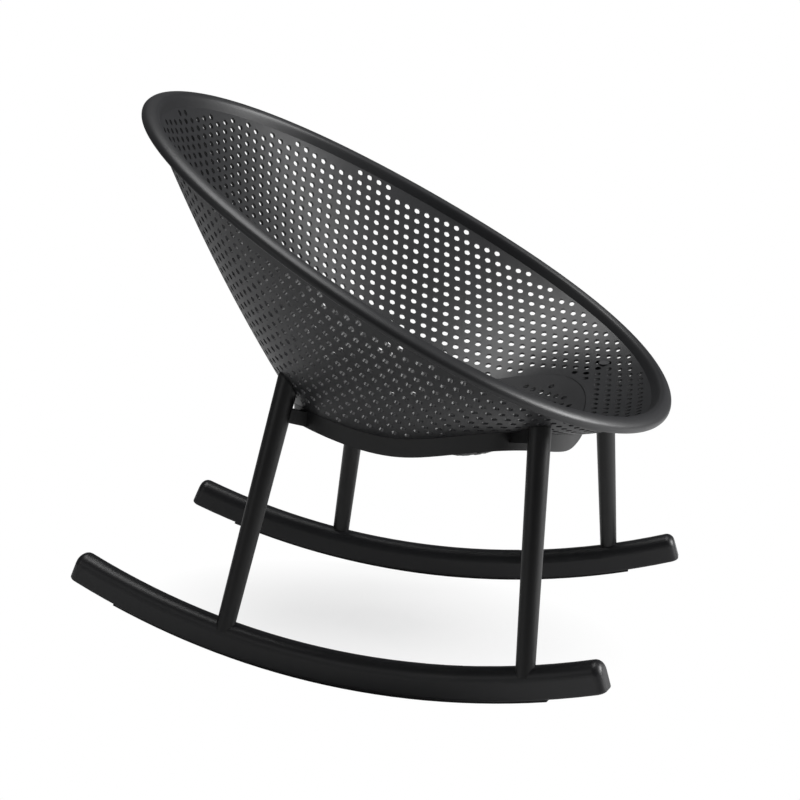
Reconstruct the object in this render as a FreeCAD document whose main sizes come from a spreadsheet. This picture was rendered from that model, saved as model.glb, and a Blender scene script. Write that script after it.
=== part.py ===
# Rocking chair: a perforated bowl seat moulded in plastic, on a base ring, four tapering legs
# and two curved rockers with anti-slip strips.
# Frame while modelling: X to the sitter's left, Y to the rear, Z up, millimetres, floor contact
# of the rockers at y = 0. At the end everything moves along Y so that the origin is the centre
# of the underside of the whole chair's box.
import FreeCAD, Part
import math
import os
import Sketcher
from FreeCAD import Placement, Rotation, Vector

NAME = "rocking_chair"
doc = FreeCAD.newDocument(NAME)
sheet = doc.addObject("Spreadsheet::Sheet", "Sizes")

# Driving sizes, in millimetres and degrees
SIZES = [
    ("rocker_radius", 1191.0, "radius of the floor side of the anti-slip strips"),
    ("rest_tilt", 4.2, "how far the chair leans back at rest, by its balance"),
    ("rocker_spacing", 567.0, "rocker centre to rocker centre at the floor contact"),
    ("rocker_toe", 6.6, "each rocker turned in at the rear"),
    ("rocker_width", 38.0, "across one rocker"),
    ("rocker_depth", 42.5, "rocker without its strip, top to bottom"),
    ("rocker_crown", 17.5, "rounding of the top edges"),
    ("rocker_under_edge", 3.0, "rounding of the lower edges"),
    ("rocker_end_round", 12.0, "rounding of the upper end corners"),
    ("rocker_rear_angle", 24.4, "arc from the floor contact to the rear end"),
    ("rocker_front_angle", 15.8, "arc from the floor contact to the front end"),
    ("strip_thickness", 3.5, "anti-slip strip"),
    ("strip_width", 30.0, "anti-slip strip"),
    ("strip_rear_angle", 20.5, "arc from the floor contact to the strip's rear end"),
    ("strip_front_angle", 11.75, "arc from the floor contact to the strip's front end"),
    ("pin_radius", 3.0, "shank of a strip pin"),
    ("pin_length", 12.0, "depth of a strip pin in the rocker"),
    ("pin_head_radius", 5.0, "head of a strip pin"),
    ("pin_head_height", 1.5, "head of a strip pin"),
    ("pin_pitch_angle", 5.6, "arc between strip pins"),
    ("pin_first_angle", 6.8, "arc from the floor contact to the foremost strip pin"),
    ("rear_leg_along", 249.5, "rear leg foot, along the rocker from the floor contact"),
    ("front_leg_along", 218.0, "front leg foot, along the rocker from the floor contact"),
    ("leg_reference_height", 330.0, "height at which the leg tops are placed"),
    ("rear_leg_x", 202.0, "rear leg axis at the reference height"),
    ("rear_leg_y", 182.5, "rear leg axis at the reference height"),
    ("front_leg_x", 248.5, "front leg axis at the reference height"),
    ("front_leg_y", 206.5, "front leg axis at the reference height, forward"),
    ("leg_foot_radius", 13.3, "leg at the rocker"),
    ("leg_top_radius", 15.4, "leg at the reference height"),
    ("leg_bore_radius", 8.5, "hollow of the leg"),
    ("leg_socket_depth", 14.0, "how far the leg enters the rocker"),
    ("leg_outset", 3.3, "leg foot outwards from the middle of its rocker"),
    ("rear_leg_overrun", 110.0, "rear leg blank above the reference height, before it is cut off"),
    ("front_leg_overrun", 78.0, "front leg blank above the reference height, before it is cut off"),
    ("rim_half_length", 424.0, "top line of the rim, half its length"),
    ("rim_half_width", 385.0, "top line of the rim, half its width"),
    ("rim_tilt", 30.6, "rim plane to the floor"),
    ("rim_centre_y", 36.0, "rim centre behind the floor contact"),
    ("rim_centre_z", 580.5, "rim centre above the floor"),
    ("rim_taper", -0.115, "rim narrower to the rear, share of the half width"),
    ("rim_fullness", 0.10, "rim fuller at both ends, share of the half width"),
    ("lip_reach", 18.5, "rolled lip, outwards from its top line"),
    ("lip_drop", 15.5, "rolled lip, down from its top line"),
    ("lip_root", 1.7, "outside of the wall where it enters the lip, out from the top line"),
    ("lip_root_drop", 12.0, "depth at which the wall enters the lip"),
    ("lip_wall", 4.0, "wall of the rolled lip"),
    ("lip_crease_drop", 21.0, "soft crease inside the rim, down from the top line"),
    ("lip_crease_inset", 18.2, "soft crease inside the rim, in from the top line"),
    ("shell_wall", 4.5, "wall of the seat"),
    ("wall_bulge_rear", 8.0, "how far the back bows outwards"),
    ("wall_bulge_side", 17.5, "how far the sides bow outwards"),
    ("wall_bulge_front", 6.0, "how far the front bows outwards"),
    ("seat_bottom_height", 296.0, "underside of the seat's flat bottom"),
    ("seat_bottom_share", 0.50, "flat bottom, share of the base outline"),
    ("base_half_width", 211.0, "outline of the base ring"),
    ("base_half_length", 192.0, "outline of the base ring"),
    ("base_centre_y", -11.0, "outline of the base ring"),
    ("base_taper", -0.115, "base ring narrower to the rear"),
    ("base_power", 2.9, "squareness of the base outline"),
    ("base_height", 335.0, "seat above the floor at the base outline's sides"),
    ("base_dish_radius", 382.0, "dish of the wall's lower edge"),
    ("seam_share", 0.03, "edge between wall and bottom, up the wall at the sides"),
    ("seam_corner_share", 0.045, "how much further up the wall that edge lies at the corners"),
    ("ring_depth", 25.0, "base ring, top to bottom on its outside"),
    ("ring_rise", 1.5, "ring's inner lower edge above its outer one"),
    ("ring_overhang", 1.5, "ring outside the edge of the seat's bottom"),
    ("ring_wall", 16.0, "base ring, outside to inside"),
    ("seat_clearance", 0.3, "gap under the seat"),
    ("fit_clearance", 0.1, "gap round bolts, inserts and spigots"),
    ("bolt_clearance", 0.3, "gap round a bolt in a moulded part"),
    ("stud_radius", 4.0, "threaded stud that holds a leg on its rocker"),
    ("stud_rocker_bite", 18.0, "stud length in the rocker"),
    ("stud_leg_bite", 32.0, "stud length in the leg"),
    ("rocker_insert_radius", 5.6, "threaded insert in a rocker"),
    ("rocker_insert_length", 18.0, "threaded insert in a rocker"),
    ("foot_insert_length", 34.0, "threaded insert in the foot of a leg"),
    ("top_insert_length", 36.0, "threaded insert in the top of a leg"),
    ("washer_thickness", 1.6, "washers of the bracket bolts"),
    ("bracket_bite", 4.0, "how far a bracket blank runs into the ring before it is cut to it"),
    ("bracket_height", 362.0, "where a leg bracket's bolt meets the leg's axis, above the floor"),
    ("bracket_width", 24.0, "leg bracket"),
    ("bracket_depth", 20.0, "leg bracket, top to bottom"),
    ("bracket_bolt_radius", 3.0, "bolt that holds a leg to the base ring"),
    ("bracket_bolt_past", 5.0, "bolt length beyond the leg's axis"),
    ("bracket_head_radius", 5.2, "head of that bolt"),
    ("bracket_head_height", 4.0, "head of that bolt"),
    ("bracket_land", 9.0, "ring material left under that bolt's washer"),
    ("buffer_thickness", 2.5, "rubber buffer between a leg top and the seat"),
    ("buffer_plug_length", 30.0, "plug of that buffer, before it is cut off under the seat"),
    ("screw_radius", 2.2, "screws from the ring into the seat's bosses"),
    ("screw_head_radius", 4.2, "head of those screws"),
    ("screw_head_height", 2.6, "head of those screws"),
    ("boss_radius", 5.5, "bosses under the seat"),
    ("boss_length", 10.0, "bosses under the seat, into the ring"),
    ("boss_root", 3.0, "bosses run on into the seat's wall"),
    ("screw_bite", 8.0, "screw length in a boss"),
    ("screw_land", 6.0, "ring material between a boss and a screw head"),
    ("socket_depth", 2.2, "hexagon socket in a bolt or screw head"),
    ("socket_share", 0.55, "hexagon socket, share of the head's radius"),
    ("recess", 0.6, "fastener heads set back below the face round them"),
]
for row, (alias, value, note) in enumerate(SIZES, start=1):
    sheet.set("A%d" % row, alias)
    sheet.set("B%d" % row, "%g" % value)
    sheet.set("C%d" % row, note)
    sheet.setAlias("B%d" % row, alias)
doc.recompute()


def size(alias):
    return float(sheet.get(alias))


def bind(obj, prop, formula):
    """Binds a property to the sheet; names in the formula are aliases in braces."""
    obj.setExpression(prop, formula.replace("{", "Sizes.").replace("}", ""))


def turned(axis, base):
    """Placement whose own Z points along axis."""
    return Placement(base, Rotation(Vector(0, 0, 1), axis))


def primitive(kind, name, placement, **sizes):
    obj = doc.addObject("Part::" + kind, name)
    for prop, formula in sizes.items():
        if isinstance(formula, str):
            bind(obj, prop, formula)
        else:
            setattr(obj, prop, formula)
    obj.Placement = placement
    return obj


def cut(name, base, tool):
    obj = doc.addObject("Part::Cut", name)
    obj.Base = base
    obj.Tool = tool
    return obj


def fuse(name, parts):
    obj = doc.addObject("Part::MultiFuse", name)
    obj.Shapes = parts
    return obj


def common(name, parts):
    obj = doc.addObject("Part::MultiCommon", name)
    obj.Shapes = parts
    return obj


def feature(name, shape):
    obj = doc.addObject("Part::Feature", name)
    obj.Shape = shape
    return obj


nodes = []


def node(obj, label):
    obj.Label = label
    nodes.append(obj)
    return obj


# Rim: a planar, nearly round curve, tilted down to the front
def rim_point(turn, out=0.0, drop=0.0):
    """Point of the rim's top line at an angle from the rear, moved outwards and down."""

    def on_plane(angle):
        share = math.cos(angle)
        half = size("rim_half_width") * (1 + size("rim_taper") * share + size("rim_fullness") * share ** 2)
        return half * math.sin(angle), size("rim_half_length") * share

    step = 1e-4
    across, along = on_plane(turn)
    ahead = on_plane(turn + step)
    behind = on_plane(turn - step)
    run_across = ahead[0] - behind[0]
    run_along = ahead[1] - behind[1]
    length = math.hypot(run_across, run_along)
    across += out * -run_along / length
    along += out * run_across / length
    tilt = math.radians(size("rim_tilt"))
    return Vector(
        across,
        size("rim_centre_y") + along * math.cos(tilt) + drop * math.sin(tilt),
        size("rim_centre_z") + along * math.sin(tilt) - drop * math.cos(tilt),
    )


# Base outline: a rounded square, narrower to the rear
def base_plan(turn, share=1.0):
    """Plan position on the base outline; share shrinks it about its centre."""
    power = size("base_power")
    cosine, sine = math.cos(turn), math.sin(turn)
    reach = (abs(cosine) ** power + abs(sine) ** power) ** (-1 / power)
    along = size("base_half_length") * reach * cosine
    across = (size("base_half_width") + size("base_taper") * along) * reach * sine
    return share * across, size("base_centre_y") + share * along


def wall_point(turn, level):
    """Outer face of the wall; level 0 is the base outline and level 1 the root of the lip."""
    x, y = base_plan(turn)
    side = size("base_half_width")
    dish = size("base_dish_radius")
    spread = math.hypot(x, y - size("base_centre_y"))
    height = size("base_height") + math.sqrt(dish ** 2 - side ** 2) - math.sqrt(dish ** 2 - spread ** 2)
    low = Vector(x, y, height)
    high = rim_point(turn, size("lip_root"), size("lip_root_drop"))
    line = high - low
    line_unit = Vector(line).normalize()
    outward = Vector(high.x, high.y - size("rim_centre_y"), 0)
    outward = outward - line_unit * outward.dot(line_unit)
    outward.normalize()
    rear = (1 + math.cos(turn)) / 2
    sideways = math.sin(turn) ** 2
    bulge = size("wall_bulge_rear") * rear + size("wall_bulge_front") * (1 - rear)
    bulge = bulge * (1 - sideways) + size("wall_bulge_side") * sideways
    return low + line * level + outward * (bulge * 4 * level * (1 - level))


def wall_normal(turn, level):
    """Outward normal of the wall."""
    step = 1e-3
    around = wall_point(turn + step, level) - wall_point(turn - step, level)
    upward = wall_point(turn, level + step) - wall_point(turn, level - step)
    normal = upward.cross(around)
    return normal.normalize()


SCREW_COUNT = 8
PIN_COUNT = 5
THROUGH = 600.0  # length of a cutting tool that passes right through
PAST = 10.0  # how far a shorter cutting tool runs on past a face
RIM_POINTS = 32
TURNS = [2 * math.pi * k / RIM_POINTS for k in range(RIM_POINTS)]
WALL_LEVELS = (0.2, 0.4, 0.6, 0.8)


def seam_level(turn):
    """How far up the wall the edge between wall and bottom lies."""
    return size("seam_share") + size("seam_corner_share") * math.sin(2 * turn) ** 2


def closed_curve(points):
    curve = Part.BSplineCurve()
    steps = [float(k) for k in range(len(points) + 1)]
    curve.interpolate(Points=points, PeriodicFlag=True, Parameters=steps)
    return Part.Wire([curve.toShape()])


def rim_wire(out, drop):
    return closed_curve([rim_point(turn, out, drop) for turn in TURNS])


def rim_plate(outlines):
    """Solid between parallel outlines round the rim, each given as (out, drop)."""
    return Part.makeLoft([rim_wire(out, drop) for out, drop in outlines], True, True)


def bottom_wire(offset):
    """Flat bottom outline of the seat, offset outwards and down from the outer face."""
    points = []
    for turn in TURNS:
        x, y = base_plan(turn, share=size("seat_bottom_share"))
        spoke = Vector(x, y - size("base_centre_y"), 0)
        spoke = spoke + Vector(spoke).normalize() * offset
        points.append(Vector(spoke.x, size("base_centre_y") + spoke.y, size("seat_bottom_height") - offset))
    return closed_curve(points)


def seat_block(offset, top_outlines):
    """The bowl as a solid block, its skin offset outwards; it ends in outlines round the rim."""
    def skin_wire(level_at):
        points = []
        for turn in TURNS:
            level = level_at(turn)
            points.append(wall_point(turn, level) + wall_normal(turn, level) * offset)
        return closed_curve(points)

    wires = [bottom_wire(offset), skin_wire(seam_level)]
    for level in WALL_LEVELS:
        wires.append(skin_wire(lambda turn, fixed=level: fixed))
    for out, drop in top_outlines:
        wires.append(rim_wire(out, drop))
    return Part.makeLoft(wires, True, True)


def ring_point(turn, inward):
    """Plan position on the base ring, inward from its outer face; the height is the seam's."""
    step = 1e-3
    edge = wall_point(turn, seam_level(turn))
    ahead = wall_point(turn + step, seam_level(turn + step))
    behind = wall_point(turn - step, seam_level(turn - step))
    run = Vector(ahead.x - behind.x, ahead.y - behind.y, 0).normalize()
    outward = Vector(run.y, -run.x, 0)
    if outward.dot(Vector(edge.x, edge.y - size("base_centre_y"), 0)) < 0:
        outward = outward * -1
    return edge + outward * (size("ring_overhang") - inward)


def seat_underside(x, y):
    """Height of the seat's underside above a plan position inside the ring."""
    line = Part.makeLine(Vector(x, y, 0), Vector(x, y, size("rim_centre_z")))
    return min(vertex.Z for vertex in line.common(seat_outer).Vertexes)


def screw_sites():
    """Foot points of the screw bosses, on the middle line of the base ring."""
    for k in range(SCREW_COUNT):
        turn = 2 * math.pi * (k + 0.5) / SCREW_COUNT
        point = ring_point(turn, size("ring_wall") / 2)
        yield Vector(point.x, point.y, seat_underside(point.x, point.y) - size("boss_length"))


lip_out, lip_drop, lip_wall = size("lip_reach"), size("lip_drop"), size("lip_wall")
crease_in, crease_drop = size("lip_crease_inset"), size("lip_crease_drop")
root_outline = [(size("lip_root"), size("lip_root_drop"))]
flare_outlines = [
    (-crease_in, crease_drop),
    (-0.60 * crease_in, 0.58 * crease_drop),
    (-0.30 * crease_in, 0.24 * crease_drop),
    (-0.10 * crease_in, 0.05 * crease_drop),
    (0.10 * crease_in, -0.04 * crease_drop),
]
seat_outer = seat_block(0.0, root_outline)
seat_hollow = seat_block(-size("shell_wall"), flare_outlines)
seat_envelope = seat_block(size("seat_clearance"), root_outline)
buffer_envelope = seat_block(size("seat_clearance") + size("buffer_thickness"), root_outline)
boss_feet = list(screw_sites())


def make_seat():
    """Bowl with a rolled lip and screw bosses, one moulding."""
    lip = rim_plate(
        [
            (0.90 * lip_out, lip_drop),
            (0.985 * lip_out, 0.86 * lip_drop),
            (lip_out, 0.62 * lip_drop),
            (0.85 * lip_out, 0.30 * lip_drop),
            (0.52 * lip_out, 0.07 * lip_drop),
            (0.15 * lip_out, 0.0),
        ]
    )
    channel_low = lip_drop * 1.05
    channel_high = lip_drop * 0.55
    channel = rim_plate([(0.90 * lip_out - lip_wall, channel_low), (0.88 * lip_out - lip_wall, channel_high)])
    inner_low = size("lip_root") - 1.0
    channel = channel.cut(rim_plate([(inner_low, channel_low), (0.36 * lip_out, channel_high)]))
    shell = seat_outer.fuse(lip).cut(seat_hollow).cut(channel)
    for foot in boss_feet:
        boss = Part.makeCylinder(size("boss_radius"), size("boss_length") + size("boss_root"), foot)
        depth = size("screw_bite") + size("recess")
        hole = Part.makeCylinder(size("screw_radius") + size("fit_clearance"), depth, foot)
        shell = shell.fuse(boss.cut(hole))
    return shell


seat = node(feature("SeatShell", make_seat()), "seat_shell")


# Fasteners are built along their own Z: head below z = 0, shank above it
def fastener(name, placement, shank_radius, shank_length, head_radius, head_height):
    shank = primitive("Cylinder", name + "Shank", Placement(), Radius=shank_radius, Height=shank_length)
    head = primitive("Cylinder", name + "Head", Placement(), Radius=head_radius, Height=head_height)
    bind(head, ".Placement.Base.z", "-(%s)" % head_height)
    whole = fuse(name + "Blank", [shank, head])
    socket = primitive(
        "Prism", name + "Socket", Placement(), Circumradius="(%s) * {socket_share}" % head_radius,
        Height="{socket_depth}",
    )
    bind(socket, ".Placement.Base.z", "-(%s)" % head_height)
    result = cut(name, whole, socket)
    result.Placement = placement
    return result


def compound(name, parts):
    obj = doc.addObject("Part::Compound", name)
    obj.Links = parts
    return obj


# Legs: each runs from its socket in a rocker up to the wall of the seat
contact_radius = size("rocker_radius")
crown_height = size("strip_thickness") + size("rocker_depth")
leg_names = [(end, side) for end in ("rear", "front") for side in ("right", "left")]
SIDE = {"right": -1, "left": 1}
seat_gap = feature("SeatEnvelope", seat_envelope)
buffer_gap = feature("BufferEnvelope", buffer_envelope)


def rocker_placement(side):
    base = Vector(SIDE[side] * size("rocker_spacing") / 2, 0, 0)
    return Placement(base, Rotation(Vector(0, 0, 1), SIDE[side] * size("rocker_toe")))


def rocker_point(side, along, above):
    """Point in the middle plane of a rocker, along its underside and above it."""
    arc = along / contact_radius
    reach = contact_radius - above
    local = Vector(0, reach * math.sin(arc), contact_radius - reach * math.cos(arc))
    return rocker_placement(side).multVec(local)


def leg_line(end, side):
    """Point in the rocker's crown and unit direction upwards."""
    along = size("rear_leg_along") if end == "rear" else -size("front_leg_along")
    foot = rocker_point(side, along, crown_height)
    foot.x += SIDE[side] * size("leg_outset")
    forward = 1 if end == "rear" else -1
    top = Vector(
        SIDE[side] * size(end + "_leg_x"), forward * size(end + "_leg_y"), size("leg_reference_height")
    )
    return foot, (top - foot).normalize()


def leg_cone(name, end, side, extra):
    """Outer body of a leg from the bottom of its socket, with its radii enlarged by extra."""
    foot, up = leg_line(end, side)
    start = foot - up * size("leg_socket_depth")
    run = (size("leg_reference_height") - foot.z) / up.z
    slope = (size("leg_top_radius") - size("leg_foot_radius")) / run
    overrun = size(end + "_leg_overrun")
    length = run + size("leg_socket_depth") + overrun
    cone = primitive(
        "Cone", name, turned(up, start), Height=length,
        Radius1="{leg_foot_radius} + %g" % (extra - slope * size("leg_socket_depth")),
        Radius2="{leg_top_radius} + %g" % (extra + slope * overrun),
    )
    return cone


def bracket_frame(end, side):
    """Point on the leg's axis and unit direction square to the leg, towards the base ring."""
    foot, up = leg_line(end, side)
    point = foot + up * ((size("bracket_height") - foot.z) / up.z)
    inward = Vector(-point.x, size("base_centre_y") - point.y, 0)
    inward = inward - up * inward.dot(up)
    return point, inward.normalize()


def make_band():
    """Band of the base ring, still with a plain top above the seat's underside."""
    over = 2 * size("ring_overhang") + size("seat_clearance") + size("boss_length")
    corners = [
        (0.0, -size("ring_depth")),
        (0.0, over),
        (size("ring_wall"), over),
        (size("ring_wall"), size("ring_rise") - size("ring_depth")),
    ]
    wires = []
    for inward, rise in corners:
        points = [ring_point(turn, inward) + Vector(0, 0, rise) for turn in TURNS]
        wires.append(closed_curve(points))
    faces = []
    for first, second in zip(wires, wires[1:] + wires[:1]):
        faces += Part.makeLoft([first, second], False, True).Faces
    shell = Part.makeShell(faces)
    shell.sewShape()
    return Part.makeSolid(shell)


band = make_band()


def ring_distance(end, side):
    """Distance from the leg's axis to the ring's outer face along the bracket."""
    point, inward = bracket_frame(end, side)
    crossing = Part.makeLine(point, point + inward * size("base_half_width")).common(band)
    return min((vertex.Point - point).Length for vertex in crossing.Vertexes)


# Base ring: a band under the seat, screwed to bosses of the shell
def make_ring():
    tools = [seat_envelope]
    for foot in boss_feet:
        down = Vector(0, 0, -1)
        pocket = Part.makeCylinder(size("boss_radius") + size("fit_clearance"), 2 * size("boss_length"), foot)
        way = Part.makeCylinder(size("screw_radius") + size("bolt_clearance"), size("ring_depth"), foot, down)
        head = Part.makeCylinder(
            size("screw_head_radius") + size("bolt_clearance"), size("ring_depth"),
            foot + down * size("screw_land"), down,
        )
        tools += [pocket, way, head]
    for end, side in leg_names:
        point, inward = bracket_frame(end, side)
        reach = ring_distance(end, side)
        way = Part.makeCylinder(
            size("bracket_bolt_radius") + size("bolt_clearance"), reach + 2 * size("ring_wall"), point, inward
        )
        seat_face = point + inward * (reach + size("bracket_land"))
        bore = Part.makeCylinder(
            size("bracket_head_radius") + 2 * size("bolt_clearance"), 2 * size("ring_wall"), seat_face, inward
        )
        tools += [way, bore]
    return band.cut(tools)


ring = node(feature("SeatRing", make_ring()), "seat_ring")


# Legs, their brackets to the ring and the hidden fastenings
def rod(name, start, along, radius, length):
    return primitive("Cylinder", name, turned(along, start), Radius=radius, Height=length)


leg_nodes = {}
bracket_bolts = {"rear": [], "front": []}
washers, foot_inserts, top_inserts, studs, rocker_inserts, buffers = [], [], [], [], [], []
for end, side in leg_names:
    tag = end.title() + side.title()
    foot, up = leg_line(end, side)
    start = foot - up * size("leg_socket_depth")
    point, inward = bracket_frame(end, side)
    reach = ring_distance(end, side)
    head_seat = point + inward * (reach + size("bracket_land"))
    shank = reach + size("bracket_land") + size("bracket_bolt_past")

    blank = leg_cone("LegBlank" + tag, end, side, 0.0)
    bore = rod("LegBore" + tag, start, up, "{leg_bore_radius}", THROUGH)
    bolt_way = rod(
        "LegBoltWay" + tag, point, inward, "{bracket_bolt_radius} + {bolt_clearance}", size("leg_top_radius") * 2
    )
    trimmed = cut("LegTrim" + tag, blank, buffer_gap)
    tube = cut("LegTube" + tag, trimmed, fuse("LegHoles" + tag, [bore, bolt_way]))
    leg_nodes[end, side] = node(tube, "leg_%s_%s" % (end, side))

    pad_blank = leg_cone("BufferBlank" + tag, end, side, -1.0)
    pad = common("BufferPad" + tag, [pad_blank, buffer_gap])
    plug_low = point + up * (size("top_insert_length") / 2 + size("buffer_thickness"))
    plug = rod("BufferPlug" + tag, plug_low, up, "{leg_bore_radius} - {fit_clearance}", "{buffer_plug_length}")
    both = fuse("BufferBoth" + tag, [pad, plug])
    buffers.append(cut("Buffer" + tag, both, seat_gap))

    insert_base = start + up * size("fit_clearance")
    insert = rod("FootInsert" + tag, insert_base, up, "{leg_bore_radius} - {fit_clearance}", "{foot_insert_length}")
    stud_base = start - up * size("stud_rocker_bite")
    stud_length = size("stud_rocker_bite") + size("stud_leg_bite")
    stud_way = rod("StudWay" + tag, stud_base, up, "{stud_radius} + {fit_clearance}", stud_length + PAST)
    foot_inserts.append(cut("FootInsertBored" + tag, insert, stud_way))
    studs.append(rod("Stud" + tag, stud_base, up, "{stud_radius}", stud_length))
    nut = rod(
        "RockerInsert" + tag, start - up * (size("rocker_insert_length") + size("fit_clearance")), up,
        "{rocker_insert_radius} - {fit_clearance}", "{rocker_insert_length}",
    )
    rocker_inserts.append(cut("RockerInsertBored" + tag, nut, stud_way))

    block = rod(
        "TopInsert" + tag, point - up * (size("top_insert_length") / 2), up,
        "{leg_bore_radius} - {fit_clearance}", "{top_insert_length}",
    )
    screw_way = rod(
        "TopInsertWay" + tag, point - inward * (size("bracket_bolt_past") + size("recess")), inward,
        "{bracket_bolt_radius} + {fit_clearance}", THROUGH,
    )
    top_inserts.append(cut("TopInsertBored" + tag, block, screw_way))

    tall = Placement(point, Rotation(up.cross(inward), up, inward, "ZXY"))
    arm = primitive(
        "Box", "BracketBlank" + tag, tall, Length="{bracket_width}", Width="{bracket_depth}",
        Height="%g + {bracket_bite}" % reach,
    )
    offset = Placement(Vector(-size("bracket_width") / 2, -size("bracket_depth") / 2, 0), Rotation())
    arm.Placement = tall * offset
    arm_way = rod("BracketWay" + tag, point, inward, "{bracket_bolt_radius} + {bolt_clearance}", reach + PAST)
    band_tool = feature("BracketBand" + tag, band)
    leg_tool = leg_cone("BracketSaddle" + tag, end, side, 0.0)
    arm_tools = fuse("BracketTools" + tag, [arm_way, band_tool, leg_tool, seat_gap])
    node(cut("Bracket" + tag, arm, arm_tools), "leg_bracket_%s_%s" % (end, side))

    bolt_base = head_seat + inward * size("washer_thickness")
    bracket_bolts[end].append(
        fastener(
            "BracketBolt" + tag, turned(inward * -1, bolt_base), "{bracket_bolt_radius}",
            "%g + {washer_thickness}" % shank, "{bracket_head_radius}", "{bracket_head_height}",
        )
    )
    disc = rod("WasherDisc" + tag, head_seat, inward, "{bracket_head_radius}", "{washer_thickness}")
    disc_way = rod("WasherWay" + tag, head_seat, inward, "{bracket_bolt_radius} + {fit_clearance}", PAST)
    washers.append(cut("Washer" + tag, disc, disc_way))

node(compound("BracketBoltsRear", bracket_bolts["rear"]), "bracket_bolts_rear")
node(compound("BracketBoltsFront", bracket_bolts["front"]), "bracket_bolts_front")
node(compound("BracketWashers", washers), "bracket_washers")
node(compound("LegTopInserts", top_inserts), "leg_top_inserts")
node(compound("LegFootInserts", foot_inserts), "leg_foot_inserts")
node(compound("FootStuds", studs), "foot_studs")
node(compound("RockerInserts", rocker_inserts), "rocker_inserts")
node(compound("LegTopBuffers", buffers), "leg_top_buffers")

screws = []
for number, foot in enumerate(boss_feet, start=1):
    head_face = foot - Vector(0, 0, size("screw_land"))
    screws.append(
        fastener(
            "RingScrew%d" % number, Placement(head_face, Rotation()), "{screw_radius}",
            "{screw_land} + {screw_bite}", "{screw_head_radius}", "{screw_head_height}",
        )
    )
node(compound("RingScrews", screws), "ring_screws")


# Rockers and strips: bars bent along the floor circle, drawn in their own upright plane
def origin_plane(body, role):
    return next(item for item in body.Origin.OriginFeatures if item.Role == role)


def bent_bar(name, low_radius, high_radius, rear_angle, front_angle, width):
    """Padded arc profile; radii and angles are formulas, the circle's centre lies above the contact."""
    body = doc.addObject("PartDesign::Body", name)
    sketch = body.newObject("Sketcher::SketchObject", name + "Profile")
    sketch.AttachmentSupport = [(origin_plane(body, "YZ_Plane"), "")]
    sketch.MapMode = "FlatFace"
    centre = Vector(0, size("rocker_radius"), 0)
    start, stop = math.radians(-90 - 14), math.radians(-90 + 22)
    low_start = size("rocker_radius") - 2
    high_start = low_start - 30
    axis = Vector(0, 0, 1)
    low = sketch.addGeometry(Part.ArcOfCircle(Part.Circle(centre, axis, low_start), start, stop), False)
    high = sketch.addGeometry(Part.ArcOfCircle(Part.Circle(centre, axis, high_start), start, stop), False)
    ends = []
    for angle in (start, stop):
        unit = Vector(math.cos(angle), math.sin(angle), 0)
        line = Part.LineSegment(centre + unit * high_start, centre + unit * low_start)
        ends.append(sketch.addGeometry(line, False))
    add = sketch.addConstraint
    add(Sketcher.Constraint("Coincident", high, 3, low, 3))
    for line, point in zip(ends, (1, 2)):
        add(Sketcher.Constraint("Coincident", line, 1, high, point))
        add(Sketcher.Constraint("Coincident", line, 2, low, point))
        add(Sketcher.Constraint("PointOnObject", low, 3, line))
    add(Sketcher.Constraint("PointOnObject", low, 3, -2))
    number = add(Sketcher.Constraint("DistanceY", -1, 1, low, 3, size("rocker_radius")))
    bind(sketch, "Constraints[%d]" % number, "{rocker_radius}")
    for arc, formula, guess in ((low, low_radius, low_start), (high, high_radius, high_start)):
        number = add(Sketcher.Constraint("Radius", arc, guess))
        bind(sketch, "Constraints[%d]" % number, formula)
    for line, formula, angle in ((ends[0], front_angle, start), (ends[1], rear_angle, stop)):
        number = add(Sketcher.Constraint("Angle", line, angle))
        bind(sketch, "Constraints[%d]" % number, "(%s) * 1 deg" % formula)
    pad = body.newObject("PartDesign::Pad", name + "Pad")
    pad.Profile = sketch
    pad.Midplane = True
    bind(pad, "Length", width)
    body.Tip = pad
    doc.recompute()
    return body, pad


def rounded(body, base, name, radius, keep):
    """Fillet on the edges that the test keeps."""
    picked = [
        "Edge%d" % number for number, edge in enumerate(base.Shape.Edges, start=1) if keep(edge)
    ]
    fillet = body.newObject("PartDesign::Fillet", name)
    fillet.Base = (base, picked)
    bind(fillet, "Radius", radius)
    body.Tip = fillet
    doc.recompute()
    return fillet


def edge_kind(edge):
    """Where an edge lies on a bar: its distance below the circle's centre and its end angle."""
    middle = edge.valueAt((edge.FirstParameter + edge.LastParameter) / 2)
    spoke = Vector(0, middle.y, middle.z - size("rocker_radius"))
    angle = math.degrees(math.atan2(spoke.y, -spoke.z))
    at_end = angle > size("rocker_rear_angle") - 0.02 or angle < 0.02 - size("rocker_front_angle")
    return size("rocker_radius") - spoke.Length, at_end, abs(middle.x)


def is_crown(edge):
    height, at_end, across = edge_kind(edge)
    return not at_end and height > crown_height - 1


def is_end(edge):
    height, at_end, across = edge_kind(edge)
    return at_end and height > size("strip_thickness") + 1


def is_under(edge):
    height, at_end, across = edge_kind(edge)
    return height < size("strip_thickness") + 1 and (at_end or across > 1)


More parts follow.
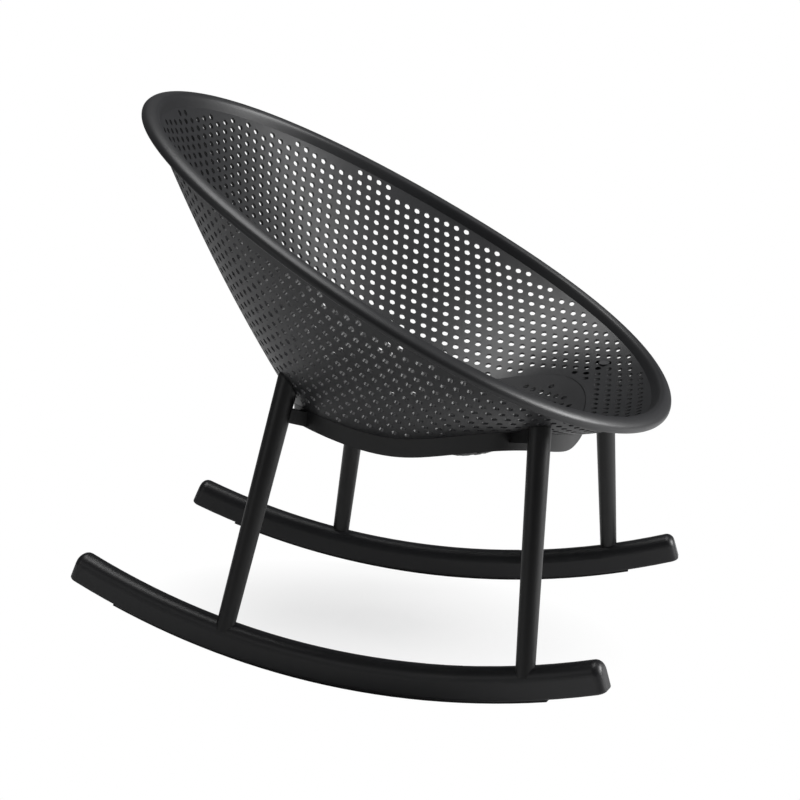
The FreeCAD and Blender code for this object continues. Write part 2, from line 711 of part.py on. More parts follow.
PIN_ANGLES = [size("pin_pitch_angle") * k - size("pin_first_angle") for k in range(PIN_COUNT)]
pins = []
for side in ("right", "left"):
    tag = side.title()
    place = rocker_placement(side)
    low_radius = "{rocker_radius} - {strip_thickness}"
    bar, pad = bent_bar(
        "RockerBar" + tag, low_radius, low_radius + " - {rocker_depth}",
        "-90 + {rocker_rear_angle}", "-90 - {rocker_front_angle}", "{rocker_width}",
    )
    crowned = rounded(bar, pad, "RockerCrown" + tag, "{rocker_crown}", is_crown)
    ended = rounded(bar, crowned, "RockerEnds" + tag, "{rocker_end_round}", is_end)
    rounded(bar, ended, "RockerUnder" + tag, "{rocker_under_edge}", is_under)
    bar.Placement = place
    rocker_tools = []
    for end in ("rear", "front"):
        spot = end.title() + tag
        foot, up = leg_line(end, side)
        start = foot - up * size("leg_socket_depth")
        socket_cone = leg_cone("Socket" + spot, end, side, size("fit_clearance"))
        insert_way = rod(
            "InsertWay" + spot, start - up * (size("rocker_insert_length") + size("fit_clearance")), up,
            "{rocker_insert_radius}", size("rocker_insert_length") + 1,
        )
        rocker_tools += [socket_cone, insert_way]
    strip_tools = []
    for number, angle in enumerate(PIN_ANGLES, start=1):
        spot = tag + str(number)
        arc = math.radians(angle)
        radial = place.Rotation.multVec(Vector(0, -math.sin(arc), math.cos(arc)))
        along = contact_radius * arc
        head_face = rocker_point(side, along, size("recess") + size("pin_head_height"))
        pin_reach = "{pin_length} + {strip_thickness}"
        pins.append(
            fastener(
                "Pin" + spot, turned(radial, head_face), "{pin_radius}", pin_reach,
                "{pin_head_radius}", "{pin_head_height}",
            )
        )
        clearance = " + {fit_clearance}"
        rocker_tools.append(
            rod("PinWay" + spot, head_face, radial, "{pin_radius}" + clearance, pin_reach + " + {recess}")
        )
        strip_tools.append(rod("StripWay" + spot, head_face, radial, "{pin_radius}" + clearance, PAST))
        head_start = head_face - radial * PAST
        strip_tools.append(rod("StripHead" + spot, head_start, radial, "{pin_head_radius}" + clearance, PAST))
    rocker = cut("Rocker" + tag, bar, fuse("RockerTools" + tag, rocker_tools))
    node(rocker, "rocker_" + side)
    strip_bar, strip_pad = bent_bar(
        "StripBar" + tag, "{rocker_radius}", low_radius,
        "-90 + {strip_rear_angle}", "-90 - {strip_front_angle}", "{strip_width}",
    )
    strip_bar.Placement = place
    node(cut("Strip" + tag, strip_bar, fuse("StripTools" + tag, strip_tools)), "rocker_strip_" + side)
node(compound("StripPins", pins), "strip_pins")

doc.recompute()
for obj in doc.Objects:
    if "Invalid" in obj.State or "Error" in obj.State:
        raise RuntimeError("%s is %s" % (obj.Name, obj.State))

# At rest the chair has rolled back on its rockers. The origin is the centre of its box's underside.
roll = Placement(
    Vector(), Rotation(Vector(1, 0, 0), -size("rest_tilt")), Vector(0, 0, size("rocker_radius"))
)
rolled = []
for obj in nodes:
    shape = obj.Shape.copy()
    if shape.isNull() or not shape.isValid() or not shape.Solids:
        raise RuntimeError("%s has no valid solid" % obj.Label)
    shape.transformShape(roll.toMatrix(), False)
    rolled.append((obj.Label, shape))
boxes = [shape.optimalBoundingBox() for label, shape in rolled]
middle_y = (max(box.YMax for box in boxes) + min(box.YMin for box in boxes)) / 2
floor = min(box.ZMin for box in boxes)
os.makedirs("parts", exist_ok=True)
for label, shape in rolled:
    shape.translate(Vector(0, -middle_y, -floor))
    shape.exportStep("parts/%s.step" % label)
    print("%-26s %2d solids %12.0f mm3" % (label, len(shape.Solids), shape.Volume))
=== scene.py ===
import math

import bmesh
import bpy
import numpy as np
from mathutils import Matrix, Vector
from mathutils.geometry import delaunay_2d_cdt


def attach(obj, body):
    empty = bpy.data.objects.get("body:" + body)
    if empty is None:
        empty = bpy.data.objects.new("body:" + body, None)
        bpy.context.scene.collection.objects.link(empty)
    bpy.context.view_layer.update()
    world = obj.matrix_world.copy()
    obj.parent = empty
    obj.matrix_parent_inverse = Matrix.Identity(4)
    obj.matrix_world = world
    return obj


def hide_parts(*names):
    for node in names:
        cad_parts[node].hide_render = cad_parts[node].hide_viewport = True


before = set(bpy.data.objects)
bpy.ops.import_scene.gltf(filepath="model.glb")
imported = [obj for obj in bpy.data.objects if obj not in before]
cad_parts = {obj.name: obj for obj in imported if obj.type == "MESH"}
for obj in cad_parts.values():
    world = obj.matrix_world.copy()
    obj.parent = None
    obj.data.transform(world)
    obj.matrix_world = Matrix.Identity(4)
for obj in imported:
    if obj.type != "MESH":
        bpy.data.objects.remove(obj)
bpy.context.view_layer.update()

# From the chair as modelled, upright, to the chair at rest, leaned back on its rockers
ROCKER_RADIUS = 1.191
REST_TILT = math.radians(4.2)
SHIFT_Y = -0.0013915
SHIFT_Z = 0.0000841
CHAIR = (
    Matrix.Translation((0.0, SHIFT_Y, SHIFT_Z + ROCKER_RADIUS))
    @ Matrix.Rotation(-REST_TILT, 4, "X")
    @ Matrix.Translation((0.0, 0.0, -ROCKER_RADIUS))
)

# Rim, wall and base outline of the bowl
RIM_HALF_LENGTH = 0.424
RIM_HALF_WIDTH = 0.385
RIM_TILT = math.radians(30.6)
RIM_CENTRE_Y = 0.036
RIM_CENTRE_Z = 0.5805
RIM_TAPER = -0.115
RIM_FULLNESS = 0.10
LIP_ROOT = 0.0017
LIP_ROOT_DROP = 0.012
SHELL_WALL = 0.0045
BULGE_REAR = 0.008
BULGE_SIDE = 0.0175
BULGE_FRONT = 0.006
BASE_HALF_WIDTH = 0.211
BASE_HALF_LENGTH = 0.192
BASE_CENTRE_Y = -0.011
BASE_TAPER = -0.115
BASE_POWER = 2.9
BASE_HEIGHT = 0.335
BASE_DISH_RADIUS = 0.382
BOTTOM_HEIGHT = 0.296
BOTTOM_SHARE = 0.50
SEAM_SHARE = 0.03
SEAM_CORNER_SHARE = 0.045

# Perforation, laid out on the wall unrolled flat and on the bottom in plan
HOLE_RADIUS = 0.0049
HOLE_SIDES = 16
HOLE_PITCH = 0.0215
ROW_PITCH_TOP = 0.0134
ROW_PITCH_LOW = 0.0150
ROW_PITCH_GROWTH = 1.6
BOTTOM_ROW_PITCH = 0.0143

# Bands without holes, from the rim, from the seam of wall and bottom, and on the bottom
RIM_BAND = 0.0215
RIM_BAND_SLACK = 0.001
SEAM_BAND = 0.011
BOTTOM_BAND = 0.0242

# Least distance of a hole's centre from the half wall's end lines, in hole radii, unless
# the hole lies on the centre line of the back
CLEAR_OF_END = 1.45

# A triangle this near a hole's centre is left out, and an edge this near belongs to the
# hole's outline, both in hole radii
HOLE_INSIDE = 0.93
HOLE_OUTSIDE = 1.02

# Least distances of points that only fill the mesh: from the rim, in lip overlaps, and
# from the seam and the end lines, in seam bands and hole radii
FILLER_FROM_LIP = 1.25
FILLER_CLEARANCE = 0.5

# Steps round half the bowl, parts of an end line, and slack of the tests on levels
HALF_TURN_STEPS = 180
BORDER_PARTS = 34
BORDER_SLACK = 0.002

# Steps for slopes, in radians or levels; tolerance and batch size of the triangulation
PLAN_STEP = 1e-4
SURFACE_STEP = 1e-3
CDT_EPSILON = 1e-6
BATCH = 4000

# Joining and shading of the meshes
MERGE_DISTANCE = 0.00005
SMOOTH_ANGLE = math.radians(35)

# Rolled lip: how far it reaches down the wall, its steps round the rim and between two
# corners of its section, and that section as (out, drop) from the inner to the outer face
LIP_OVERLAP = 0.013
LIP_TURNS = 288
LIP_SMOOTH = 4
LIP_SECTION = [
    (-0.0055, 0.0050),
    (-0.0018, 0.0010),
    (0.0018, -0.0006),
    (0.0096, 0.0011),
    (0.0157, 0.00465),
    (0.0185, 0.0096),
    (0.0182, 0.0133),
    (0.0166, 0.0155),
    (0.0128, 0.0156),
    (0.0123, 0.0088),
    (0.0070, 0.0082),
    (0.0030, 0.0145),
]


def rim_point(turn, out=0.0, drop=0.0):
    """Point of the rim's top line at an angle from the rear, moved outwards and down."""

    def on_plane(angle):
        share = math.cos(angle)
        half = RIM_HALF_WIDTH * (1 + RIM_TAPER * share + RIM_FULLNESS * share**2)
        return half * math.sin(angle), RIM_HALF_LENGTH * share

    across, along = on_plane(turn)
    ahead = on_plane(turn + PLAN_STEP)
    behind = on_plane(turn - PLAN_STEP)
    run = Vector((ahead[0] - behind[0], ahead[1] - behind[1])).normalized()
    across -= out * run.y
    along += out * run.x
    return Vector(
        (
            across,
            RIM_CENTRE_Y + along * math.cos(RIM_TILT) + drop * math.sin(RIM_TILT),
            RIM_CENTRE_Z + along * math.sin(RIM_TILT) - drop * math.cos(RIM_TILT),
        )
    )


def base_plan(turn, share=1.0):
    """Plan position on the base outline, shrunk by share about its centre."""
    cosine, sine = math.cos(turn), math.sin(turn)
    reach = (abs(cosine) ** BASE_POWER + abs(sine) ** BASE_POWER) ** (-1 / BASE_POWER)
    along = BASE_HALF_LENGTH * reach * cosine
    across = (BASE_HALF_WIDTH + BASE_TAPER * along) * reach * sine
    return share * across, BASE_CENTRE_Y + share * along


def wall_point(turn, level):
    """Outer face of the wall; level 0 is the base outline and level 1 the root of the lip."""
    x, y = base_plan(turn)
    spread = math.hypot(x, y - BASE_CENTRE_Y)
    dish_at_side = math.sqrt(BASE_DISH_RADIUS**2 - BASE_HALF_WIDTH**2)
    dish_here = math.sqrt(BASE_DISH_RADIUS**2 - spread**2)
    low = Vector((x, y, BASE_HEIGHT + (dish_at_side - dish_here)))
    high = rim_point(turn, LIP_ROOT, LIP_ROOT_DROP)
    line = high - low
    along = line.normalized()
    outward = Vector((high.x, high.y - RIM_CENTRE_Y, 0.0))
    outward = (outward - along * outward.dot(along)).normalized()
    rear = (1 + math.cos(turn)) / 2
    sideways = math.sin(turn) ** 2
    bulge = BULGE_REAR * rear + BULGE_FRONT * (1 - rear)
    bulge = bulge * (1 - sideways) + BULGE_SIDE * sideways
    return low + line * level + outward * (bulge * 4 * level * (1 - level))


def wall_normal(turn, level):
    """Outward normal of the wall."""
    around = wall_point(turn + SURFACE_STEP, level) - wall_point(turn - SURFACE_STEP, level)
    upward = wall_point(turn, level + SURFACE_STEP) - wall_point(turn, level - SURFACE_STEP)
    return upward.cross(around).normalized()


def seam_level(turn):
    """How far up the wall its edge with the bottom lies."""
    return SEAM_SHARE + SEAM_CORNER_SHARE * math.sin(2 * turn) ** 2


def bottom_point(turn, level):
    """Underside of the seat; level 0 is the edge of the flat and level 1 the seam."""
    x, y = base_plan(turn, BOTTOM_SHARE)
    flat = Vector((x, y, BOTTOM_HEIGHT))
    return flat.lerp(wall_point(turn, seam_level(turn)), level)


TURNS = [math.pi * k / HALF_TURN_STEPS for k in range(HALF_TURN_STEPS + 1)]


def unrolled():
    """The left half of the wall laid flat: its lower and upper edge, point by point."""

    def beside(first, second, from_first, from_second):
        """Point at the two given distances from two points, on the right of their line."""
        line = second - first
        length = line.length
        along = (from_first**2 - from_second**2 + length**2) / (2 * length)
        aside = math.sqrt(max(from_first**2 - along**2, 0.0))
        unit = line / length
        return first + unit * along + Vector((unit.y, -unit.x)) * aside

    low = [wall_point(turn, 0.0) for turn in TURNS]
    high = [wall_point(turn, 1.0) for turn in TURNS]
    flat_low = [Vector((0.0, 0.0))]
    flat_high = [Vector((0.0, (high[0] - low[0]).length))]
    for k in range(1, len(TURNS)):
        across = (high[k] - low[k - 1]).length
        upper = beside(flat_low[-1], flat_high[-1], across, (high[k] - high[k - 1]).length)
        lower = beside(flat_low[-1], upper, (low[k] - low[k - 1]).length, (low[k] - high[k]).length)
        flat_high.append(upper)
        flat_low.append(lower)
    return np.array(flat_low), np.array(flat_high)


def locate(points, inner, outer):
    """Turn and level of flat points between an inner and an outer edge of the same turns."""
    points = np.asarray(points, float)
    spokes = outer - inner
    offsets = points[:, None, :] - inner[None, :, :]
    side = spokes[None, :, 0] * offsets[:, :, 1] - spokes[None, :, 1] * offsets[:, :, 0]
    side = side / np.linalg.norm(spokes, axis=1)[None, :]
    passed = np.clip((side < 0).cumprod(axis=1).sum(axis=1), 1, len(inner) - 1)
    rows = np.arange(len(points))
    before = side[rows, passed - 1]
    after = side[rows, passed]
    share = np.clip(before / np.where(before == after, 1.0, before - after), 0.0, 1.0)
    place = passed - 1 + share
    foot = inner[passed - 1] * (1 - share)[:, None] + inner[passed] * share[:, None]
    top = outer[passed - 1] * (1 - share)[:, None] + outer[passed] * share[:, None]
    spoke = top - foot
    level = ((points - foot) * spoke).sum(axis=1) / (spoke * spoke).sum(axis=1)
    return math.pi * place / HALF_TURN_STEPS, level


def hole_outline(centre):
    """Corners of one hole, none of them on the line through its centre along Y."""
    angles = [2 * math.pi * (k + 0.5) / HOLE_SIDES for k in range(HOLE_SIDES)]
    x, y = centre
    return [Vector((x + HOLE_RADIUS * math.cos(a), y + HOLE_RADIUS * math.sin(a))) for a in angles]


def punched(border, centres, fillers, inside):
    """Flat triangles inside a border with round holes; returns points and triangles."""
    points = [Vector(p) for p in border]
    edges = [(k, (k + 1) % len(border)) for k in range(len(border))]
    for centre in centres:
        start = len(points)
        points += hole_outline(centre)
        edges += [(start + k, start + (k + 1) % HOLE_SIDES) for k in range(HOLE_SIDES)]
    points += [Vector(p) for p in fillers]
    made, _, faces, *_ = delaunay_2d_cdt(points, edges, [], 1, CDT_EPSILON, False)
    made = np.array([tuple(p) for p in made])
    faces = np.array([tuple(f) for f in faces])
    middles = made[faces].mean(axis=1)
    holes = np.array([tuple(c) for c in centres])
    keep = inside(middles)
    for first in range(0, len(faces), BATCH):
        batch = slice(first, first + BATCH)
        gap = middles[batch, None, :] - holes[None, :, :]
        nearest = np.hypot(gap[..., 0], gap[..., 1]).min(axis=1)
        keep[batch] &= nearest > HOLE_INSIDE * HOLE_RADIUS
    return made, faces[keep]


def add_sheet(mesh, points, faces, places, mirror):
    """Adds an outer and an inner skin; places gives each flat point its place and normal."""
    outer, inner = [], []
    sign = -1.0 if mirror else 1.0
    for point in points:
        place, normal = places[tuple(point)]
        place = Vector((sign * place.x, place.y, place.z))
        normal = Vector((sign * normal.x, normal.y, normal.z))
        outer.append(mesh.verts.new(CHAIR @ place))
        inner.append(mesh.verts.new(CHAIR @ (place - normal * SHELL_WALL)))
    edges = []
    for a, b, c in faces:
        edges += [(a, b), (b, c), (c, a)]
        if mirror:
            a, b = b, a
        mesh.faces.new((outer[a], outer[b], outer[c]))
        mesh.faces.new((inner[c], inner[b], inner[a]))
    directed = set(edges)
    return outer, inner, [(a, b) for a, b in edges if (b, a) not in directed]


def close_holes(mesh, outer, inner, edges, centres, points):
    """Walls of the round holes between the two skins."""
    holes = np.array([tuple(c) for c in centres])
    for a, b in edges:
        middle = (points[a] + points[b]) / 2
        gap = np.hypot(*(holes - middle).T).min()
        if gap < HOLE_OUTSIDE * HOLE_RADIUS:
            mesh.faces.new((outer[a], outer[b], inner[b], inner[a]))


flat_low, flat_high = unrolled()
ruling = np.linalg.norm(flat_high - flat_low, axis=1)
seam_levels = np.array([seam_level(turn) for turn in TURNS])
lip_levels = 1.0 - LIP_OVERLAP / ruling


def wall_sites():
    """Hole centres and filler points of one half of the unrolled wall, row by row."""
    reach = float(max(np.abs(flat_low).max(), np.abs(flat_high).max())) + HOLE_PITCH
    top = float(flat_high[:, 1].max())
    bottom = float(min(flat_low[:, 1].min(), flat_high[:, 1].min()))
    sites = []
    row, height = 0, top - RIM_BAND
    while height > bottom:
        x = 0.0 if row % 2 else HOLE_PITCH / 2
        while x < reach:
            sites.append((x, height))
            x += HOLE_PITCH
        depth = min(max((top - height) / (top - bottom), 0.0), 1.0)
        growth = min(1.0, ROW_PITCH_GROWTH * depth)
        height -= ROW_PITCH_TOP + (ROW_PITCH_LOW - ROW_PITCH_TOP) * growth
        row += 1
    turn, level = locate(sites, flat_low, flat_high)
    place = turn * HALF_TURN_STEPS / math.pi
    length = np.interp(place, range(len(TURNS)), ruling)
    seam = np.interp(place, range(len(TURNS)), seam_levels)
    edge_gap = np.array([end_gap(p) for p in sites])
    inside = (turn < math.pi) & (level > 0) & (level < 1)
    from_rim = (1 - level) * length
    from_seam = (level - seam) * length
    sites = np.array(sites)
    central = sites[:, 0] < HOLE_PITCH / 4
    punch = inside & (from_rim > RIM_BAND - RIM_BAND_SLACK) & (from_seam > SEAM_BAND)
    punch &= central | (edge_gap > CLEAR_OF_END * HOLE_RADIUS)
    filler = inside & ~punch & (from_rim > FILLER_FROM_LIP * LIP_OVERLAP)
    filler &= from_seam > FILLER_CLEARANCE * SEAM_BAND
    filler &= edge_gap > FILLER_CLEARANCE * HOLE_RADIUS
    return sites[punch], sites[filler]


def end_gap(point):
    """Distance of a flat point from the two end lines of the half wall."""
    gaps = []
    for k in (0, -1):
        line = flat_high[k] - flat_low[k]
        line = line / np.linalg.norm(line)
        offset = np.array(point) - flat_low[k]
        gaps.append(abs(line[0] * offset[1] - line[1] * offset[0]))
    return min(gaps)


def in_wall(middles):
    """Which flat points lie on the left half of the wall, between seam and lip."""
    turn, level = locate(middles, flat_low, flat_high)
    seam = np.interp(turn, TURNS, seam_levels)
    return (level > seam - BORDER_SLACK) & (level < 1.0)


def add_both_halves(mesh, points, faces, places, centres):
    """Adds a punched sheet and its mirror image, with the walls of its holes."""
    for mirror in (False, True):
        outer, inner, edges = add_sheet(mesh, points, faces, places, mirror)
        close_holes(mesh, outer, inner, edges, centres, points)


def make_shell():
    """Perforated wall and bottom of the bowl, from the lip down."""
    mesh = bmesh.new()

    # Wall, laid out unrolled: its left half between the seam and the lip
    low_edge = flat_low + (flat_high - flat_low) * seam_levels[:, None]
    high_edge = flat_low + (flat_high - flat_low) * lip_levels[:, None]
    parts = [k / BORDER_PARTS for k in range(1, BORDER_PARTS)]
    front = [low_edge[-1] + (high_edge[-1] - low_edge[-1]) * part for part in parts]
    rear = [high_edge[0] + (low_edge[0] - high_edge[0]) * part for part in parts]
    border = list(low_edge) + front + list(high_edge[::-1]) + rear
    centres, fillers = wall_sites()
    points, faces = punched([tuple(p) for p in border], centres, fillers, in_wall)
    turns, levels = locate(points, flat_low, flat_high)
    places = {}
    for point, turn, level in zip(points, turns, levels):
        places[tuple(point)] = (wall_point(turn, level), wall_normal(turn, level))
    add_both_halves(mesh, points, faces, places, centres)

    # Bottom, laid out in plan: a flat middle and a rise to the seam
    flat_rim = np.array([tuple(bottom_point(turn, 0.0))[:2] for turn in TURNS])
    seam = np.array([tuple(bottom_point(turn, 1.0))[:2] for turn in TURNS])
    middle = [(0.0, seam[-1][1] + (seam[0][1] - seam[-1][1]) * part) for part in parts]
    centres, fillers = bottom_sites(flat_rim, seam)
    points, faces = punched(
        [tuple(p) for p in seam] + middle,
        centres,
        fillers,
        lambda middles: locate(middles, flat_rim, seam)[1] < 1 + BORDER_SLACK,
    )
    turns, levels = locate(points, flat_rim, seam)
    places = {}
    for point, turn, level in zip(points, turns, levels):
        places[tuple(point)] = bottom_place(point, turn, level)
    add_both_halves(mesh, points, faces, places, centres)
    return mesh


def bottom_place(point, turn, level):
    """Point of the underside at a plan position, with its normal."""
    if level <= 0:
        return Vector((point[0], point[1], BOTTOM_HEIGHT)), Vector((0.0, 0.0, -1.0))
    around = bottom_point(turn + SURFACE_STEP, level) - bottom_point(turn - SURFACE_STEP, level)
    upward = bottom_point(turn, level + SURFACE_STEP) - bottom_point(turn, level - SURFACE_STEP)
    return bottom_point(turn, level), upward.cross(around).normalized()


def bottom_sites(flat_rim, seam):
    """Hole centres and filler points of one half of the bottom."""
    holes, fillers = [], []
    rows = int((seam[0][1] - seam[-1][1]) / BOTTOM_ROW_PITCH)
    columns = int(seam[:, 0].max() / HOLE_PITCH) + 1
    sites = []
    for row in range(1, rows):
        for column in range(columns):
            x = HOLE_PITCH * (column + (0.5 if row % 2 else 0.0))
            sites.append((x, seam[-1][1] + row * BOTTOM_ROW_PITCH))
    turn, level = locate(sites, flat_rim, seam)
    for site, at, high in zip(sites, turn, level):
        reach = (1 - high) * math.dist(base_plan(at), base_plan(at, BOTTOM_SHARE))
        if reach > BOTTOM_BAND:
            holes.append(site)
        elif reach > SEAM_BAND and site[0] > 0:
            fillers.append(site)
    return holes, fillers


def add_piece(name, mesh):
    """Makes an object of a bmesh that rides on the chair."""
    loose = [vert for vert in mesh.verts if not vert.link_faces]
    bmesh.ops.delete(mesh, geom=loose, context="VERTS")
    bmesh.ops.remove_doubles(mesh, verts=mesh.verts, dist=MERGE_DISTANCE)
    bmesh.ops.recalc_face_normals(mesh, faces=mesh.faces)
    for face in mesh.faces:
        face.smooth = True
    for edge in mesh.edges:
        edge.smooth = len(edge.link_faces) == 2 and edge.calc_face_angle() < SMOOTH_ANGLE
    data = bpy.data.meshes.new(name)
    mesh.to_mesh(data)
    mesh.free()
    piece = bpy.data.objects.new(name, data)
    bpy.context.scene.collection.objects.link(piece)
    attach(piece, "root")
    return piece


def section_at(turn):
    """Closed section of the lip at one angle, as points."""
    length = (wall_point(turn, 1.0) - wall_point(turn, 0.0)).length
    level = 1.0 - LIP_OVERLAP / length
    outer = wall_point(turn, level)
    inner = outer - wall_normal(turn, level) * SHELL_WALL
    control = [inner] + [rim_point(turn, out, drop) for out, drop in LIP_SECTION] + [outer]
    points = [control[0]]
    for k in range(len(control) - 1):
        before = control[max(k - 1, 0)]
        after = control[min(k + 2, len(control) - 1)]
        first, second = control[k], control[k + 1]
        tangent_first = (second - before) / 2
        tangent_second = (after - first) / 2
        for step in range(1, LIP_SMOOTH + 1):
            u = step / LIP_SMOOTH
            points.append(
                first * (2 * u**3 - 3 * u**2 + 1)
                + tangent_first * (u**3 - 2 * u**2 + u)
                + second * (3 * u**2 - 2 * u**3)
                + tangent_second * (u**3 - u**2)
            )
    return points


lip_mesh = bmesh.new()
rings = []
for k in range(LIP_TURNS):
    section = section_at(2 * math.pi * k / LIP_TURNS)
    rings.append([lip_mesh.verts.new(CHAIR @ point) for point in section])
for first, second in zip(rings, rings[1:] + rings[:1]):
    for k in range(len(first)):
        after = (k + 1) % len(first)
        lip_mesh.faces.new((first[k], first[after], second[after], second[k]))
lip = add_piece("seat_lip", lip_mesh)
bowl = add_piece("seat_bowl", make_shell())
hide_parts("seat_shell")
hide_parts("seat_shell")


# Materials, and the unevenness that all of them share
GRAIN_DETAIL = 3.0
BROAD_SCALE = 14.0
BROAD_DETAIL = 4.0
GRAIN_HEIGHT = 0.0002
GLOSS_SPREAD = 0.05
COLOUR_SPREAD = 0.15


def moulded(name, colour, roughness, grain, depth, metal=False):
    """Satin material; grain is the scale of its fine noise and depth the bump's strength."""
    material = bpy.data.materials.new(name)
    material.use_nodes = True
    tree = material.node_tree
    shader = tree.nodes["Principled BSDF"]
    place = tree.nodes.new("ShaderNodeTexCoord")
    fine = tree.nodes.new("ShaderNodeTexNoise")
    fine.inputs["Scale"].default_value = grain
    fine.inputs["Detail"].default_value = GRAIN_DETAIL
    broad = tree.nodes.new("ShaderNodeTexNoise")
    broad.inputs["Scale"].default_value = BROAD_SCALE
    broad.inputs["Detail"].default_value = BROAD_DETAIL
    tree.links.new(place.outputs["Object"], fine.inputs["Vector"])
    tree.links.new(place.outputs["Object"], broad.inputs["Vector"])
    bump = tree.nodes.new("ShaderNodeBump")
    bump.inputs["Strength"].default_value = depth
    bump.inputs["Distance"].default_value = GRAIN_HEIGHT
    tree.links.new(fine.outputs["Fac"], bump.inputs["Height"])
    tree.links.new(bump.outputs["Normal"], shader.inputs["Normal"])
    gloss = tree.nodes.new("ShaderNodeMapRange")
    gloss.inputs["To Min"].default_value = roughness - GLOSS_SPREAD
    gloss.inputs["To Max"].default_value = roughness + GLOSS_SPREAD
    tree.links.new(broad.outputs["Fac"], gloss.inputs["Value"])
    tree.links.new(gloss.outputs["Result"], shader.inputs["Roughness"])
    ramp = tree.nodes.new("ShaderNodeValToRGB")
    ramp.color_ramp.elements[0].color = (*[(1 - COLOUR_SPREAD) * c for c in colour], 1.0)
    ramp.color_ramp.elements[1].color = (*[(1 + COLOUR_SPREAD) * c for c in colour], 1.0)
    tree.links.new(broad.outputs["Fac"], ramp.inputs["Fac"])
    tree.links.new(ramp.outputs["Color"], shader.inputs["Base Color"])
    if metal:
        shader.inputs["Metallic"].default_value = 1.0
    return material


seat_plastic = moulded("seat_plastic", (0.0150, 0.0152, 0.0165), 0.42, 2200.0, 0.30)
frame_plastic = moulded("frame_plastic", (0.0060, 0.0060, 0.0064), 0.46, 2200.0, 0.30)
leg_paint = moulded("leg_paint", (0.0042, 0.0042, 0.0044), 0.42, 3000.0, 0.20)
rocker_plastic = moulded("rocker_plastic", (0.0085, 0.0085, 0.0098), 0.40, 1800.0, 0.35)
strip_rubber = moulded("strip_rubber", (0.0060, 0.0060, 0.0062), 0.70, 900.0, 0.60)
pin_plastic = moulded("pin_plastic", (0.0100, 0.0100, 0.0105), 0.45, 2500.0, 0.20)
insert_plastic = moulded("insert_plastic", (0.05, 0.05, 0.052), 0.50, 2500.0, 0.20)
bolt_steel = moulded("bolt_steel", (0.32, 0.32, 0.33), 0.32, 3500.0, 0.15, metal=True)
insert_brass = moulded("insert_brass", (0.52, 0.38, 0.16), 0.30, 3500.0, 0.15, metal=True)

# The first row whose text starts a node's name gives the node's material
NODE_MATERIALS = [
    ("seat_ring", frame_plastic),
    ("leg_bracket", frame_plastic),
    ("leg_top_buffers", strip_rubber),
    ("leg_top_inserts", insert_plastic),
    ("leg_foot_inserts", insert_brass),
    ("leg_", leg_paint),
    ("rocker_strip", strip_rubber),
    ("rocker_inserts", insert_brass),
    ("rocker_", rocker_plastic),
    ("strip_pins", pin_plastic),
    ("", bolt_steel),
]
for name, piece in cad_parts.items():
    material = next(made for start, made in NODE_MATERIALS if name.startswith(start))
    piece.data.materials.clear()
    piece.data.materials.append(material)
for piece in (lip, bowl):
    piece.data.materials.append(seat_plastic)


# Floor and world: white to the camera, with a soft grey shadow under the chair
FLOOR_SHADE = 0.50
FLOOR_LIFT = 0.50
FLOOR_GREY = 0.8
SHADOW_INNER = 0.05
SHADOW_OUTER = 0.38
SHADOW_NARROWING = 1.35
FLOOR_RADIUS = 12.0
FLOOR_SIDES = 96
FLOOR_GAP = 0.0004
AMBIENT_COLOUR = (0.95, 0.97, 1.0, 1.0)
AMBIENT_STRENGTH = 0.10
BACKDROP_COLOUR = (1.0, 1.0, 1.0, 1.0)


def whitening_floor():
    """Shaded near the chair, plain white to the camera further out, grey to other rays."""
    material = bpy.data.materials.new("floor")
    material.use_nodes = True
    tree = material.node_tree
    tree.nodes.clear()
    output = tree.nodes.new("ShaderNodeOutputMaterial")
    shaded = tree.nodes.new("ShaderNodeBsdfDiffuse")
    shaded.inputs["Color"].default_value = (FLOOR_SHADE,) * 3 + (1.0,)
    lift = tree.nodes.new("ShaderNodeEmission")
    lift.inputs["Strength"].default_value = FLOOR_LIFT
    both = tree.nodes.new("ShaderNodeAddShader")
    white = tree.nodes.new("ShaderNodeEmission")
    plain = tree.nodes.new("ShaderNodeBsdfDiffuse")
    plain.inputs["Color"].default_value = (FLOOR_GREY,) * 3 + (1.0,)
    place = tree.nodes.new("ShaderNodeTexCoord")
    oval = tree.nodes.new("ShaderNodeVectorMath")
    oval.operation = "MULTIPLY"
    oval.inputs[1].default_value = (SHADOW_NARROWING, 1.0, 1.0)
    distance = tree.nodes.new("ShaderNodeVectorMath")
    distance.operation = "LENGTH"
    fade = tree.nodes.new("ShaderNodeMapRange")
    fade.inputs["From Min"].default_value = SHADOW_INNER
    fade.inputs["From Max"].default_value = SHADOW_OUTER
    seen = tree.nodes.new("ShaderNodeMixShader")
    path = tree.nodes.new("ShaderNodeLightPath")
    mix = tree.nodes.new("ShaderNodeMixShader")
    link = tree.links.new
    link(place.outputs["Object"], oval.inputs[0])
    link(oval.outputs["Vector"], distance.inputs[0])
    link(distance.outputs["Value"], fade.inputs["Value"])
    link(shaded.outputs[0], both.inputs[0])
    link(lift.outputs[0], both.inputs[1])
    link(fade.outputs["Result"], seen.inputs["Fac"])
    link(both.outputs[0], seen.inputs[1])
    link(white.outputs[0], seen.inputs[2])
    link(path.outputs["Is Camera Ray"], mix.inputs["Fac"])
    link(plain.outputs[0], mix.inputs[1])
    link(seen.outputs[0], mix.inputs[2])
    link(mix.outputs[0], output.inputs["Surface"])
    return material


bpy.ops.mesh.primitive_circle_add(
    vertices=FLOOR_SIDES, radius=FLOOR_RADIUS, fill_type="NGON", location=(0, 0, -FLOOR_GAP)
)
floor = bpy.context.object
floor.name = "floor"
floor.data.materials.append(whitening_floor())

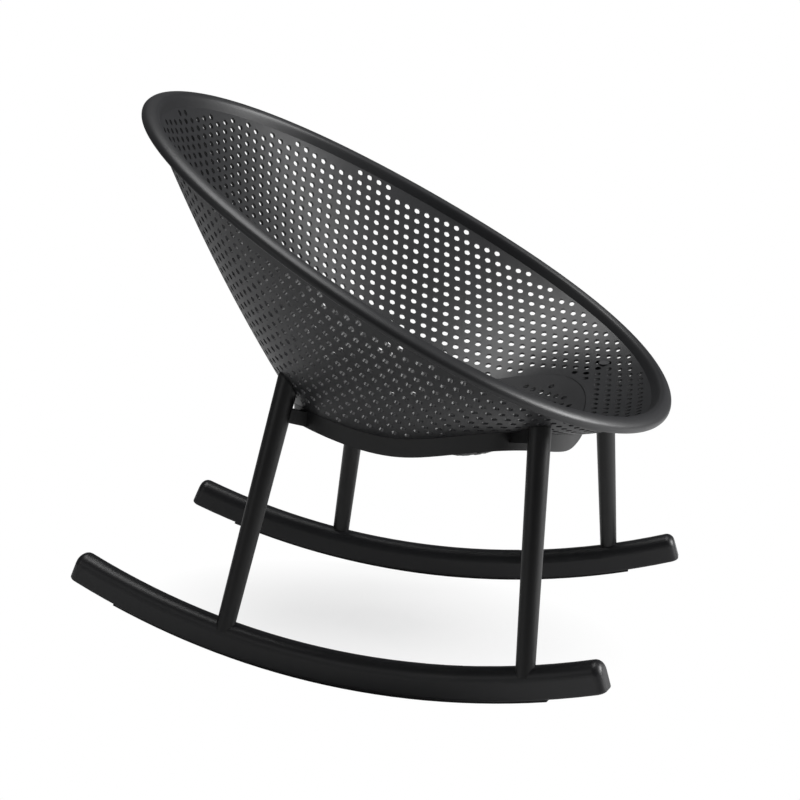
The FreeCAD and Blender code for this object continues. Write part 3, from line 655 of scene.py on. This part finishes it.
world = bpy.data.worlds.new("studio")
bpy.context.scene.world = world
world.use_nodes = True
tree = world.node_tree
ambient = tree.nodes["Background"]
ambient.inputs["Color"].default_value = AMBIENT_COLOUR
ambient.inputs["Strength"].default_value = AMBIENT_STRENGTH
backdrop = tree.nodes.new("ShaderNodeBackground")
backdrop.inputs["Color"].default_value = BACKDROP_COLOUR
mix = tree.nodes.new("ShaderNodeMixShader")
path = tree.nodes.new("ShaderNodeLightPath")
tree.links.new(path.outputs["Is Camera Ray"], mix.inputs["Fac"])
tree.links.new(ambient.outputs[0], mix.inputs[1])
tree.links.new(backdrop.outputs[0], mix.inputs[2])
tree.links.new(mix.outputs[0], tree.nodes["World Output"].inputs["Surface"])


# Lamps
SEAT_CENTRE = Vector((0.0, 0.0, 0.45))


def softbox(name, place, watts, width):
    """Square area lamp aimed at the middle of the seat."""
    lamp = bpy.data.lights.new(name, "AREA")
    lamp.energy = watts
    lamp.shape = "SQUARE"
    lamp.size = width
    rig = bpy.data.objects.new(name, lamp)
    rig.location = place
    rig.rotation_euler = (SEAT_CENTRE - Vector(place)).to_track_quat("-Z", "Y").to_euler()
    bpy.context.scene.collection.objects.link(rig)


softbox("top", (0.1, 0.3, 2.9), 46.0, 1.6)
softbox("front", (0.7, -2.7, 1.5), 95.0, 1.3)
softbox("fill", (-2.2, 1.8, 1.3), 5.0, 1.2)

# Camera, set up on the upright chair and leaned back with it
CAMERA_AZIMUTH = math.radians(-73.604)
CAMERA_ELEVATION = math.radians(11.375)
CAMERA_DISTANCE = 2.7559
CAMERA_LENS = 83.29
CAMERA_SENSOR = 36.0
CAMERA_TARGET = Vector((0.0, 0.0573, 0.3502))
back = Vector(
    (
        math.sin(CAMERA_AZIMUTH) * math.cos(CAMERA_ELEVATION),
        -math.cos(CAMERA_AZIMUTH) * math.cos(CAMERA_ELEVATION),
        math.sin(CAMERA_ELEVATION),
    )
)
right = Vector((math.cos(CAMERA_AZIMUTH), math.sin(CAMERA_AZIMUTH), 0.0))
up = back.cross(right)
axes = Matrix((right, up, back)).transposed().to_4x4()
camera_data = bpy.data.cameras.new("camera")
camera_data.lens = CAMERA_LENS
camera_data.sensor_width = CAMERA_SENSOR
camera = bpy.data.objects.new("camera", camera_data)
bpy.context.scene.collection.objects.link(camera)
camera.matrix_world = CHAIR @ Matrix.Translation(CAMERA_TARGET + back * CAMERA_DISTANCE) @ axes
bpy.context.scene.camera = camera
bpy.context.scene.view_settings.view_transform = "Standard"
